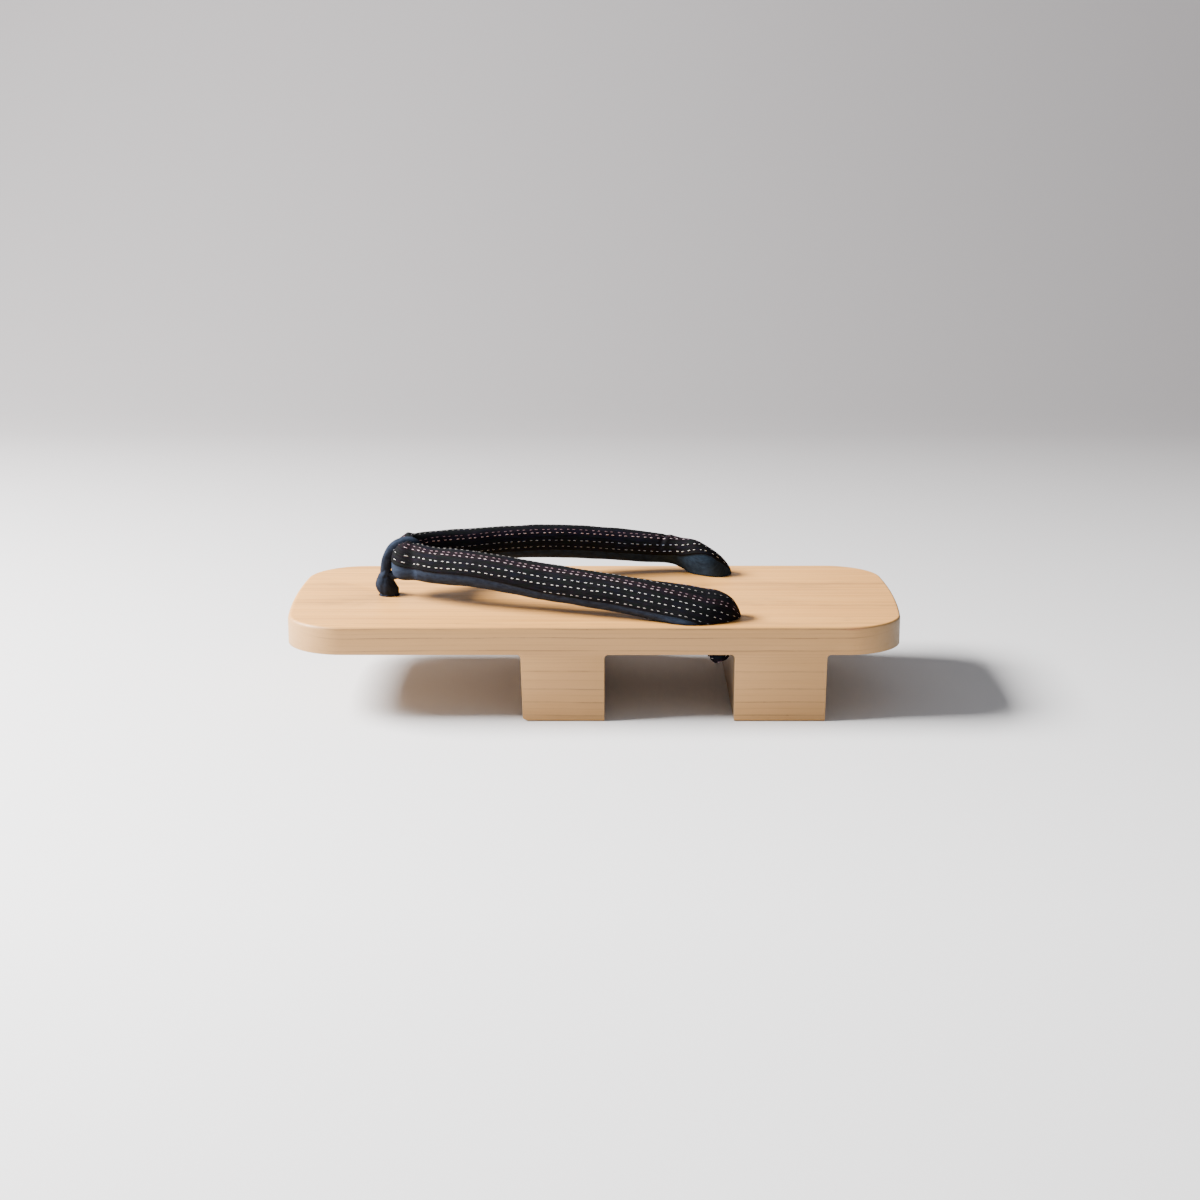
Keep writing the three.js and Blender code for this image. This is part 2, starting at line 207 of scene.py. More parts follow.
# Growth rings lie round a line far below the board (y, z). Radii of the dark late-wood lines and of fainter
# ones, and a line's levels at distances from its radius.
RING_LINE = (0.0, -260.0)
RING_SPAN = (262.0, 310.0)
RINGS = [267.8, 273.2, 278.5, 285.6, 294.1, 299.2, 302.8]
RING_PROFILE = ((-0.9, 0.0), (-0.24, 0.14), (-0.08, 1.0), (0.26, 0.0))
FAINT_RINGS = [270.6, 276.0, 282.1, 289.2, 290.4, 291.6, 292.7, 296.4, 301.1]
FAINT_PROFILE = ((-0.5, 0.0), (0.0, 0.25), (0.15, 0.0))
WOOD = {
    "early": (0.70, 0.335, 0.082),
    "late": (0.58, 0.262, 0.06),
    "cloud": (0.74, 0.36, 0.09),
    "fibre": (0.52, 0.23, 0.052),
    "top_grain": (0.40, 0.18, 0.05),
    "line": (0.16, 0.09, 0.04),
    "fleck": (0.08, 0.05, 0.025),
    # Rough-cut end grain, darkened further as painted shade under the board and between the teeth.
    "rough_cut_and_painted_shade": (0.25, 0.175, 0.11),
    # Painted shade: a darker, cooler colour for the upright faces.
    "painted_side_shade_tint": (0.70, 0.79, 1.15),
    # Painted shade: faces turned towards the heel are darkened.
    "heel_painted_shade_tint": (0.50, 0.62, 0.90),
}
# Natural flaws in the wood near the heel: place, reach along each axis, strength and tint.
WOOD_FLAWS = [
    ((101.5, -39.0, 38.8), (2.6, 0.9, 3.0), 0.5, (0.28, 0.16, 0.07)),
    ((101.2, -42.6, 38.8), (3.0, 0.8, 3.0), 0.5, (0.26, 0.15, 0.07)),
    ((102.5, -53.0, 38.0), (6.5, 1.6, 1.1), 0.6, (0.36, 0.13, 0.06)),
]

COVER = {
    "ground": (0.0016, 0.0016, 0.0020),
    "thread": (0.0064, 0.0064, 0.0079),
    "green": (0.0037, 0.0066, 0.0054),
    "blue": (0.0035, 0.0045, 0.0098),
    "plum": (0.0084, 0.0042, 0.0090),
    "rose": (0.019, 0.0056, 0.0100),
    # Painted cool tint against the warm light bounced from the wood onto the inner half.
    "inner_painted_cool_tint": (1.05, 1.6, 2.4),
}
# The inner half's painted cool tint ends over this stretch, counted from where the rear end begins.
REAR_END = 36.0
INNER_PAINTED_TINT_ENDS = (-14.0, 4.0)

# Dark and light tone of each plain cotton, its weave, and its tints along the piece.
LINING = {"dark": (0.0080, 0.0126, 0.0245), "light": (0.0175, 0.0265, 0.047), "pitch": 0.55}
# Painted shade: the lining past the fold is darker and bluer, against the warm light bounced from the wood.
LINING_PAINTED_SHADE_PAST_FOLD = {"start": 20.0, "reach": 12.0, "tint": (0.66, 0.92, 1.25)}
# Painted light: the lining at the right half's rear end is lifted lighter and warmer again.
LINING_PAINTED_LIGHT_AT_REAR = {"reach": 10.0, "tint": (1.2, 1.06, 0.75)}
THONG = {"dark": (0.0064, 0.0096, 0.0175), "light": (0.0148, 0.0206, 0.0350), "pitch": 0.5}
THONG_TINT = (9.0, 6.0, (1.25, 1.28, 1.30))

THREAD_COLORS = {
    "white": ((0.43, 0.43, 0.42), (0.65, 0.65, 0.63)),
    "cream": ((0.46, 0.455, 0.42), (0.70, 0.69, 0.645)),
    "blush": ((0.34, 0.24, 0.27), (0.60, 0.48, 0.50)),
    "rose": ((0.12, 0.065, 0.08), (0.27, 0.17, 0.195)),
    "grey": ((0.16, 0.15, 0.14), (0.36, 0.34, 0.32)),
    # Painted shade: a dim bluish copy of the pale threads for the shaded inner side.
    "painted_shade": ((0.13, 0.17, 0.24), (0.28, 0.34, 0.44)),
}
THREADS = list(THREAD_COLORS)

# In metres: the floor runs back to a bend and the backdrop rises behind it, darker with depth as painted
# shade for the light's falloff.
FLOOR = {"front": -2.4, "bend": 0.7, "radius": 0.6, "top": 3.0, "half_width": 4.0, "bend_steps": 12}
FLOOR_COLORS = ((0.85, 0.85, 0.86), (0.87, 0.87, 0.88))
BACKDROP_PAINTED_FALLOFF = {"color": (0.322, 0.309, 0.313), "from": -0.25, "to": 0.62}
WINDOW = {"place": (-0.975, 0.06, 0.75), "target": (0, 0, 0.03), "size": (0.72, 0.36), "watts": 97}
WINDOW_COLOR = (1.0, 0.985, 0.97)
SKY = {"color": (0.93, 0.95, 1.0, 1), "strength": 0.36}
CAMERA = {"place": (0.0020, -0.8924, 0.2610), "tilt": 75.874, "turn": -0.0276, "lens": 66.05, "sensor": 36}
CAMERA_NEAR = 0.01


def spline(rows, steps, closed=False):
    """Rows of numbers on a smooth line through the given rows."""
    rows = np.asarray(rows, float)
    if closed:
        rows = np.vstack([rows[-1], rows, rows[0], rows[1]])
    else:
        rows = np.vstack([2 * rows[0] - rows[1], rows, 2 * rows[-1] - rows[-2]])
    made = []
    for a, b, c, d in zip(rows, rows[1:], rows[2:], rows[3:]):
        for t in np.arange(steps) / steps:
            made.append(
                b
                + 0.5 * t * (c - a)
                + 0.5 * t**2 * (2 * a - 5 * b + 4 * c - d)
                + 0.5 * t**3 * (3 * b - a - 3 * c + d)
            )
    if not closed:
        made.append(rows[-2])
    return np.array(made)


def travelled(points):
    """Distance along a line at each of its points."""
    return np.r_[0, np.cumsum(np.linalg.norm(np.diff(points, axis=0), axis=1))]


def hill(value, middle, width):
    """A smooth hill of height 1."""
    return np.exp(-(((value - middle) / width) ** 2))


def squared(value, power):
    """A sine or cosine that swells towards a square's for a power below 1."""
    return math.copysign(abs(value) ** power, value)


def add_mesh(name, points, faces, materials, picks=None, uvs=None):
    """An object in metres from points in millimetres, with smooth faces."""
    mesh = bpy.data.meshes.new(name)
    mesh.from_pydata((np.asarray(points) * MM).tolist(), [], faces)
    for material in materials:
        mesh.materials.append(material)
    if picks is not None:
        mesh.polygons.foreach_set("material_index", np.asarray(picks, dtype=np.int32))
    if uvs is not None:
        layer = mesh.uv_layers.new(name="weave")
        corners = np.empty(len(mesh.loops), dtype=np.int32)
        mesh.loops.foreach_get("vertex_index", corners)
        layer.data.foreach_set("uv", np.asarray(uvs)[corners].ravel())
    mesh.shade_smooth()
    made = bpy.data.objects.new(name, mesh)
    bpy.context.scene.collection.objects.link(made)
    return made


class Nodes:
    """Short calls for a material's node tree."""

    def __init__(self, name):
        self.material = bpy.data.materials.new(name)
        self.material.use_nodes = True
        self.tree = self.material.node_tree
        self.shader = self.tree.nodes["Principled BSDF"]

    def add(self, kind, settings=None, **inputs):
        """A new node. An input is named, or counted as i0, i1 and so on."""
        node = self.tree.nodes.new(kind)
        for key, value in (settings or {}).items():
            setattr(node, key, value)
        for key, value in inputs.items():
            self.put(node.inputs[int(key[1:]) if key[1:].isdigit() else key], value)
        return node

    def put(self, socket, value):
        if isinstance(value, bpy.types.NodeSocket):
            self.tree.links.new(value, socket)
        else:
            socket.default_value = value

    def math(self, operation, *values):
        node = self.add("ShaderNodeMath", {"operation": operation})
        for socket, value in zip(node.inputs, values):
            self.put(socket, value)
        return node.outputs[0]

    def times(self, first, second):
        return self.math("MULTIPLY", first, second)

    def vector(self, operation, first, second=None):
        node = self.add("ShaderNodeVectorMath", {"operation": operation}, i0=first)
        if second is not None:
            self.put(node.inputs[1], second)
        return node.outputs["Value" if operation == "LENGTH" else "Vector"]

    def split(self, vector):
        return self.add("ShaderNodeSeparateXYZ", Vector=vector).outputs

    def cloth(self):
        """Places on the cloth in millimetres: along the piece and across it."""
        return self.add("ShaderNodeUVMap", {"uv_map": "weave"}).outputs[0]

    def noise(self, vector, scale, detail=2.0, rough=0.5):
        node = self.add("ShaderNodeTexNoise", Vector=vector, Scale=scale, Detail=detail, Roughness=rough)
        return node.outputs["Fac"]

    def grain(self, vector, scale, detail=2.0, rough=0.5):
        """Noise with a scale of its own along each axis."""
        stretched = self.add("ShaderNodeMapping", Vector=vector, Scale=scale).outputs[0]
        return self.noise(stretched, 1.0, detail, rough)

    def span(self, value, low, high, to_low=0.0, to_high=1.0):
        node = self.add("ShaderNodeMapRange", Value=value)
        for key, number in zip(("From Min", "From Max", "To Min", "To Max"), (low, high, to_low, to_high)):
            node.inputs[key].default_value = number
        return node.outputs[0]

    def mix(self, factor, first, second, blend="MIX"):
        node = self.add("ShaderNodeMix", {"data_type": "RGBA", "blend_type": blend})
        self.put(node.inputs["Factor"], factor)
        for socket, value in zip((node.inputs[6], node.inputs[7]), (first, second)):
            self.put(socket, (*value, 1) if isinstance(value, tuple) else value)
        return node.outputs[2]

    def bump(self, height, strength, distance):
        node = self.add("ShaderNodeBump", Height=height, Strength=strength, Distance=distance)
        return node.outputs[0]

    def finish(self, color, roughness, normal, **constants):
        self.put(self.shader.inputs["Base Color"], color)
        self.put(self.shader.inputs["Roughness"], roughness)
        self.put(self.shader.inputs["Normal"], normal)
        for key, value in constants.items():
            self.shader.inputs[key.replace("_", " ")].default_value = value
        return self.material


def ring_lines(n, radius, rings, profile):
    """Lines at the rings' radii, with the profile's levels."""
    low, high = RING_SPAN
    ramp = n.add("ShaderNodeValToRGB", Fac=n.span(radius, low, high))
    stops = ramp.color_ramp.elements
    stops[0].color = (0, 0, 0, 1)
    stops[1].color = (0, 0, 0, 1)
    for ring in rings:
        for offset, level in profile:
            stop = stops.new((ring + offset - low) / (high - low))
            stop.color = (level, level, level, 1)
    return ramp.outputs[0]


def growth_rings(n, mm):
    """Dark and faint ring lines, broken here and there."""
    _, y, z = n.split(mm)
    across = n.math("SUBTRACT", y, RING_LINE[0])
    up = n.math("SUBTRACT", z, RING_LINE[1])
    radius = n.math("SQRT", n.math("ADD", n.times(across, across), n.times(up, up)))
    wander = n.grain(mm, (0.011, 0.03, 0.03))
    ripple = n.grain(mm, (0.05, 0.2, 0.2), 3.0)
    radius = n.math("ADD", radius, n.span(wander, 0, 1, -0.9, 0.9))
    radius = n.math("ADD", radius, n.span(ripple, 0, 1, -0.3, 0.3))
    dark = ring_lines(n, radius, RINGS, RING_PROFILE)
    faint = ring_lines(n, radius, FAINT_RINGS, FAINT_PROFILE)
    broken = n.span(n.grain(mm, (0.05, 0.12, 0.12), 4.0, 0.65), 0.36, 0.6, 0.3, 1.0)
    return n.times(n.math("MAXIMUM", dark, faint), broken)


def wood_material():
    """Pale straight-grained wood, sanded on top and round the edge and rough below, with painted shade on
    its upright faces, its heel end and below.
    """
    n = Nodes("pale_wood")
    place = n.add("ShaderNodeTexCoord").outputs["Object"]
    mm = n.add("ShaderNodeVectorMath", {"operation": "SCALE"}, Vector=place, Scale=1 / MM).outputs[0]
    height = n.split(mm)[2]
    faces = n.split(n.add("ShaderNodeNewGeometry").outputs["Normal"])
    facing_ends = n.math("ABSOLUTE", faces[0])
    facing_up_or_down = n.math("ABSOLUTE", faces[2])
    flat = n.span(facing_up_or_down, 0.3, 0.9)

    lines = n.times(growth_rings(n, mm), n.span(flat, 0.0, 1.0, 1.0, 0.4))
    lines = n.times(lines, n.span(facing_ends, 0.1, 0.5, 1.0, 0.2))
    fleck = n.span(n.grain(mm, (0.45, 1.2, 1.2)), 0.6, 0.74)
    top_grain = n.grain(mm, (0.0035, 0.75, 0.2), 3.0, 0.6)
    top_grain = n.times(n.span(top_grain, 0.55, 0.64), n.span(faces[2], 0.5, 0.95))
    fine = n.grain(mm, (0.008, 0.42, 0.42), 4.0, 0.65)
    fibre = n.grain(mm, (0.06, 4.5, 4.5), 2.0, 0.6)
    cloud = n.grain(mm, (0.012, 0.03, 0.03))

    streak = n.times(n.span(fine, 0.42, 0.68), n.span(flat, 0.0, 1.0, 0.3, 1.0))
    color = n.mix(streak, WOOD["early"], WOOD["late"])
    color = n.mix(n.span(cloud, 0.3, 0.7, 0.0, 0.3), color, WOOD["cloud"])
    color = n.mix(n.span(fibre, 0.45, 0.8, 0.0, 0.22), color, WOOD["fibre"])
    color = n.mix(n.times(top_grain, 0.6), color, WOOD["top_grain"])
    # Upright faces are darkened and cooled: painted shade for the light that falls less on them.
    side_shade_mask = n.span(facing_up_or_down, 0.45, 0.97, 1.0, 0.0)
    color = n.mix(side_shade_mask, color, WOOD["painted_side_shade_tint"], "MULTIPLY")
    # Faces turned towards the heel are darkened: painted shade.
    color = n.mix(n.span(faces[0], 0.15, 0.85, 0.0, 0.85), color, WOOD["heel_painted_shade_tint"], "MULTIPLY")
    color = n.mix(n.times(lines, 0.85), color, WOOD["line"])
    color = n.mix(n.times(n.times(lines, fleck), 0.7), color, WOOD["fleck"])

    # The underside and the teeth's end grain are left rough and dull, and their darker colour is also
    # painted shade under the board and between the teeth.
    ends = n.times(n.span(facing_ends, 0.75, 0.95), n.span(height, 28.5, 27.0))
    rough_cut_and_painted_shade = n.math("MAXIMUM", n.span(faces[2], -0.4, -0.8), ends)
    color = n.mix(n.times(rough_cut_and_painted_shade, 0.85), color, WOOD["rough_cut_and_painted_shade"])

    for middle, reach, share, tint in WOOD_FLAWS:
        offset = n.vector("DIVIDE", n.vector("SUBTRACT", mm, middle), reach)
        away = n.vector("LENGTH", offset)
        patchy = n.times(n.span(away, 1.0, 0.2), n.span(fibre, 0.35, 0.6, 0.3, 1.0))
        color = n.mix(n.times(patchy, share), color, tint)

    relief = n.math("SUBTRACT", n.times(fibre, 0.5), n.times(lines, 0.5))
    rough = n.span(fine, 0.3, 0.7, 0.42, 0.54)
    normal = n.bump(relief, 0.12, 0.0004)
    return n.finish(color, rough, normal, Specular_IOR_Level=0.35)


def woven(n, along, across, pitch):
    """Height of a plain weave."""
    turn = 2 * math.pi / pitch
    warp = n.math("SINE", n.times(along, turn))
    weft = n.math("SINE", n.times(across, turn))
    return n.times(warp, weft)


def cover_material(rear):
    """Near-black woven cotton with a rose stripe on each side. The rear end begins at the given distance."""
    n = Nodes("strap_cover")
    uv = n.cloth()
    along, across, _ = n.split(uv)
    weave = woven(n, along, across, 0.62)
    threads = n.grain(uv, (0.12, 1.9, 1.0), 3.0, 0.65)
    tones = n.grain(uv, (0.16, 0.7, 1.0))
    hues = n.grain(uv, (0.357, 1.054, 1.0))
    speck = n.grain(uv, (0.8, 1.6, 1.0))
    color = n.mix(n.span(threads, 0.35, 0.68), COVER["ground"], COVER["thread"])
    color = n.mix(n.span(tones, 0.5, 0.68, 0.0, 0.7), color, COVER["green"])
    color = n.mix(n.span(tones, 0.48, 0.32, 0.0, 0.7), color, COVER["blue"])
    color = n.mix(n.span(hues, 0.54, 0.7, 0.0, 0.7), color, COVER["plum"])
    side = n.math("ABSOLUTE", across)
    stripe = n.times(n.span(side, 2.4, 3.4), n.span(side, 6.2, 5.2))
    color = n.mix(n.times(stripe, n.span(speck, 0.35, 0.6, 0.0, 0.4)), color, COVER["rose"])

    # The inner half is painted bluer, against the warm light that the wood throws on it, but not at the
    # rear.
    ends_from, ends_to = INNER_PAINTED_TINT_ENDS
    before_rear = n.span(along, rear + ends_from, rear + ends_to, 1.0, 0.0)
    inner = n.times(n.span(across, -1.5, -6.0), before_rear)
    color = n.mix(inner, color, COVER["inner_painted_cool_tint"], "MULTIPLY")

    height = n.math("ADD", n.times(weave, 0.5), n.times(threads, 0.8))
    normal = n.bump(height, 0.35, 0.00025)
    rough = n.span(speck, 0.3, 0.7, 0.78, 0.92)
    return n.finish(color, rough, normal, Specular_IOR_Level=0.05)


def navy_material(name, dark, light, pitch, tints):
    """Plain navy cotton. Each tint starts at a distance along the piece and takes a reach to come in."""
    n = Nodes(name)
    uv = n.cloth()
    along, across, _ = n.split(uv)
    weave = woven(n, along, across, pitch)
    mottle = n.grain(uv, (0.35, 0.5, 1.0), 3.0, 0.6)
    slub = n.grain(uv, (0.25, 2.6, 1.0))
    color = n.mix(n.span(mottle, 0.34, 0.64), dark, light)
    color = n.mix(n.span(slub, 0.5, 0.8, 0.0, 0.45), color, tuple(1.6 * part for part in light))
    uneven = n.math("ADD", along, n.times(mottle, 6.0))
    for start, reach, tint in tints:
        color = n.mix(n.span(uneven, start, start + reach), color, tint, "MULTIPLY")
    height = n.math("ADD", n.times(weave, 0.5), n.times(slub, 0.6))
    normal = n.bump(height, 0.3, 0.0002)
    rough = n.span(mottle, 0.3, 0.7, 0.82, 0.94)
    return n.finish(color, rough, normal, Specular_IOR_Level=0.08)


def thread_material(name, dark, light):
    """A twisted thread, worn darker in places."""
    n = Nodes(name)
    uv = n.cloth()
    along, across, _ = n.split(uv)
    twist = n.math("SINE", n.math("ADD", n.times(along, 9.0), n.times(across, 14.0)))
    wear = n.grain(uv, (0.9, 0.9, 1.0))
    color = n.mix(n.span(wear, 0.3, 0.65), dark, light)
    normal = n.bump(twist, 0.15, 0.0001)
    return n.finish(color, n.span(wear, 0.3, 0.7, 0.7, 0.85), normal, Sheen_Weight=0.1)


def floor_material():
    n = Nodes("pale_floor")
    place = n.add("ShaderNodeTexCoord").outputs["Object"]
    cloud = n.noise(place, 2.0)
    tooth = n.noise(place, 900.0)
    depth = n.split(place)[1]
    color = n.mix(n.span(cloud, 0.3, 0.7), *FLOOR_COLORS)
    # Painted shade: the floor and backdrop darken with depth as the light falls off.
    color = n.mix(n.span(depth, BACKDROP_PAINTED_FALLOFF["from"], BACKDROP_PAINTED_FALLOFF["to"]), color, BACKDROP_PAINTED_FALLOFF["color"])
    return n.finish(color, 0.85, n.bump(tooth, 0.05, 0.0002), Specular_IOR_Level=0.2)


def strap_rings():
    """Sections at even steps from the left rear hole, round the fold, to the right rear hole."""
    rows = []
    for x, y, z, wide, thick, tilt, middle, edge in reversed(LEFT_ROWS):
        rows.append((x, -y, z, wide, thick, tilt, 90.0, middle, edge))
    for turn, z, wide, thick, tilt, middle in FOLD_ROWS:
        angle = math.radians(turn)
        x = FOLD_MIDDLE_X - FOLD_REACH[0] * math.sin(angle)
        y = -FOLD_REACH[1] * math.cos(angle)
        rows.append((x, y, z, wide, thick, tilt, 90.0 - turn, middle, FOLD_EDGE))
    for x, y, z, wide, thick, tilt, middle, edge in RIGHT_ROWS:
        rows.append((x, y, z, wide, thick, tilt, -90.0, middle, edge))
    line = spline(rows, ROW_STEPS)
    along = travelled(line[:, : Z + 1])
    even = np.linspace(0, along[-1], int(along[-1] / RING_STEP) + 1)
    rings = np.column_stack([np.interp(even, along, column) for column in line.T])
    return even, rings


class Strap:
    """The padded tube's surface: u along it, v across the pattern from its middle, outwards positive.

    The grip is the share of its full width that the pattern has at a ring.
    """

    def __init__(self):
        self.u, self.rings = strap_rings()
        self.end = self.u[-1]
        self.last = len(self.u) - 1
        self.nose = self.u[np.argmin(np.abs(self.rings[:, HEADING]))]
        angles = np.linspace(-math.pi, math.pi, OVAL_POINTS)
        self.ovals, self.faced, self.arcs, self.grip = [], [], [], []
        for u, ring in zip(self.u, self.rings):
            power = 2 / (2 + FOLD_SQUARE["more"] * hill(u, self.nose, FOLD_SQUARE["width"]))
            crest = np.sign(np.cos(angles)) * np.abs(np.cos(angles)) ** power
            flank = np.sign(np.sin(angles)) * np.abs(np.sin(angles)) ** power
            oval = np.column_stack([ring[WIDE] / 2 * crest, ring[THICK] / 2 * flank])
            ahead = np.roll(oval[:-1], -1, axis=0) - np.roll(oval[:-1], 1, axis=0)
            ahead = np.vstack([ahead, ahead[:1]])
            faced = np.column_stack([ahead[:, 1], -ahead[:, 0]])
            arc = travelled(oval)
            self.ovals.append(oval)
            self.faced.append(faced / np.linalg.norm(faced, axis=1)[:, None])
            self.arcs.append(arc - arc[OVAL_POINTS // 2])
            self.grip.append(min(1.0, arc[-1] / FULL_GIRTH))

    def around(self, k):
        return self.arcs[k][-1] - self.arcs[k][0]

    def to_arc(self, k, v):
        return self.rings[k][MIDDLE] + np.asarray(v) * self.grip[k]

    def swell(self, k, arc):
        """Soft unevenness of the filling, the pinch under the band, and creases at the fold."""
        u = self.u[k]
        from_nose = u - self.nose
        v = (arc - self.rings[k][MIDDLE]) / self.grip[k]
        rise = sum(
            high * np.sin(u / length + slant * v + phase) for high, length, slant, phase in FILLING_WAVES
        )

        pinch = math.exp(-((from_nose / PINCH["reach"]) ** 4))
        rise = rise - pinch * (PINCH["round"] + PINCH["crest"] * hill(arc, 0.0, PINCH["crest_width"]))
        beside = BESIDE_PINCH["high"] * hill(abs(from_nose), BESIDE_PINCH["away"], BESIDE_PINCH["width"])
        rise = rise + beside * hill(arc, 0.0, BESIDE_PINCH["crest_width"])

        above = arc + CREASES["inside"]
        reach = np.hypot(from_nose, above)
        fan = np.arctan2(above, abs(from_nose) + 0.01)
        creases = np.sin(fan * CREASES["turns"] + CREASES["phase"])
        creases = creases * hill(reach, CREASES["away"], CREASES["width"])
        rise = rise + CREASES["high"] * (creases * (arc > CREASES["from"]) * (1 - pinch))

        if from_nose > 0:
            past = self.rings[k][X] - (DENT["x"] + DENT["slant"] * v)
            dent = DENT["deep"] * hill(past, 0, DENT["width"])
            dent = dent - DENT_LIP["high"] * hill(past, DENT_LIP["away"], DENT_LIP["width"])
            rise = rise - dent * hill(v, DENT["middle"], DENT["reach"])
        return rise * min(1.0, self.grip[k] * SWELL_GRIP)

    def points(self, k, arc, lift=0.0):
        """Points on ring k at distances round it from the crest."""
        ring = self.rings[k]
        table = self.arcs[k]
        wrapped = (np.asarray(arc, float) - table[0]) % self.around(k) + table[0]
        out = self.swell(k, wrapped) + lift
        crest, flank = (
            np.interp(wrapped, table, surface) + np.interp(wrapped, table, facing) * out
            for surface, facing in zip(self.ovals[k].T, self.faced[k].T)
        )
        tilt = math.radians(ring[TILT])
        heading = math.radians(ring[HEADING])
        inwards = crest * math.cos(tilt) - flank * math.sin(tilt)
        upwards = crest * math.sin(tilt) + flank * math.cos(tilt)
        made = np.column_stack(
            [
                ring[X] + inwards * math.cos(heading),
                ring[Y] + inwards * math.sin(heading),
                HEIGHT + ring[Z] + upwards,
            ]
        )
        low = np.clip(1 - (made[:, 2] - HEIGHT) / SQUASH["below"], 0, 1) ** 2
        rear = np.clip((ring[X] - SQUASH["x"]) / SQUASH["reach"], 0, 1)
        spread = SQUASH["out"] * low * np.sign(flank) * rear * self.grip[k]
        made[:, 0] -= spread * math.cos(heading)
        made[:, 1] -= spread * math.sin(heading)
        made[:, 2] = np.maximum(made[:, 2], HEIGHT + CLEAR + lift * 0.5)
        return made


def tube_faces(rings, sides, closed_round=True, closed_along=False):
    """Quads between rings of points."""
    faces = []
    for i in range(rings if closed_along else rings - 1):
        low = i * sides
        high = ((i + 1) % rings) * sides
        for j in range(sides if closed_round else sides - 1):
            k = (j + 1) % sides
            faces.append((low + j, low + k, high + k, high + j))
    return faces


def turns(count):
    """Even angles once round."""
    return [2 * math.pi * j / count for j in range(count)]


class Heap:
    """Points, faces, material picks and uvs of several shells in one mesh."""

    def __init__(self):
        self.points, self.faces, self.picks, self.uvs = [], [], [], []
        self.count = 0

    def add(self, points, faces, uvs, pick=0):
        self.points.append(np.asarray(points, float))
        self.uvs.append(np.asarray(uvs, float))
        self.faces += [tuple(self.count + i for i in face) for face in faces]
        self.picks += list(pick) if hasattr(pick, "__len__") else [pick] * len(faces)
        self.count += len(points)

    def make(self, name, materials):
        return add_mesh(name, np.vstack(self.points), self.faces, materials, self.picks, np.vstack(self.uvs))


def knot_path(knot):
    """A cord's middle line tied in a simple knot, with its sideways and upwards directions."""
    t = np.linspace(0, 2 * math.pi, KNOT_STEPS, endpoint=False)
    reach_x = (knot["long"] - knot["cord"]) / 3.0
    reach_y = (knot["across"] - knot["cord"]) / 3.0
    reach_z = knot["high"] - knot["cord"]
    path = np.column_stack(
        [
            knot["x"] + reach_x * (np.sin(t) + 2 * np.sin(2 * t)),
            knot["y"] + reach_y * (np.cos(t) - 2 * np.cos(2 * t)),
            HEIGHT - KNOT_DEPTH - knot["drop"] - reach_z * np.sin(3 * t),
        ]
    )
    ahead = np.roll(path, -1, axis=0) - np.roll(path, 1, axis=0)
    ahead /= np.linalg.norm(ahead, axis=1)[:, None]
    sideways = np.cross(ahead, (0, 0, 1.0))
    sideways /= np.linalg.norm(sideways, axis=1)[:, None]
    return path, sideways, np.cross(sideways, ahead)


def knot_tube(knot, sides=18):
    """A knotted cord under the board."""
    path, sideways, upwards = knot_path(knot)
    angles = 2 * math.pi * np.arange(sides) / sides
    points = []
    uvs = []
    for i in range(KNOT_STEPS):
        sway = KNOT_RIPPLE["sway"] * math.sin(2 * KNOT_RIPPLE["turns"] * math.pi * i / KNOT_STEPS)
        size = knot["cord"] * (1 + KNOT_RIPPLE["deep"] * np.cos(KNOT_RIPPLE["count"] * angles + sway))
        ring = np.cos(angles)[:, None] * sideways[i] + np.sin(angles)[:, None] * upwards[i]
        points.append(path[i] + size[:, None] * ring)
        along = np.full(sides, i * CLOTH_STEP["knot"])
        uvs.append(np.column_stack([along, (angles - math.pi) * knot["cord"]]))
    points = np.vstack(points)
    points[:, 2] = np.minimum(points[:, 2], KNOT_CEILING)
    return points, tube_faces(KNOT_STEPS, sides, closed_along=True), np.vstack(uvs)


def neck_tube(x, y, top, sides=36, steps=10):
    """The gathered cloth in a hole, from the knot's level to a height above the board."""
    low = HEIGHT - KNOT_DEPTH
    high = HEIGHT + top
    points = []
    uvs = []
    for i in range(steps):
        z = low + (high - low) * i / (steps - 1)
        for j, angle in enumerate(turns(sides)):
            size = NECK["radius"] * (1 - NECK["flute"] - NECK["flute"] * math.cos(NECK["flutes"] * angle))
            points.append((x + size * math.cos(angle), y + size * math.sin(angle), z))
            uvs.append((i * CLOTH_STEP["neck_up"], (j - sides / 2) * CLOTH_STEP["neck_round"]))
    return points, tube_faces(steps, sides), uvs


def strap_shell(strap):
    """The cover and the lining strip, with the cover's edge standing a hem's thickness proud."""
    sides = COVER_STEPS + LINING_STEPS + 2
    points = []
    uvs = []
    for k, u in enumerate(strap.u):
        v = np.linspace(-INNER_EDGE, strap.rings[k][EDGE], COVER_STEPS + 1)
        arc = strap.to_arc(k, v)
        under = np.linspace(arc[-1], arc[0] + strap.around(k), LINING_STEPS + 1)
        hem = HEM * strap.grip[k]
        points.append(strap.points(k, arc, hem / 2))
        points.append(strap.points(k, under, -hem / 2))
        uvs.append(np.column_stack([np.full(len(v), u), v]))
        uvs.append(np.column_stack([np.full(len(under), u), under]))
    count = len(strap.u)
    faces = tube_faces(count, sides)
    cover_and_hem = [0] * (COVER_STEPS + 1)
    lining_and_hem = [1] * LINING_STEPS + [0]
    picks = (cover_and_hem + lining_and_hem) * (count - 1)
    for first in (0, (count - 1) * sides):
        ring = list(range(first, first + sides))
        faces.append(tuple(ring if first else reversed(ring)))
        picks.append(0)
    return np.vstack(points), faces, np.vstack(uvs), picks


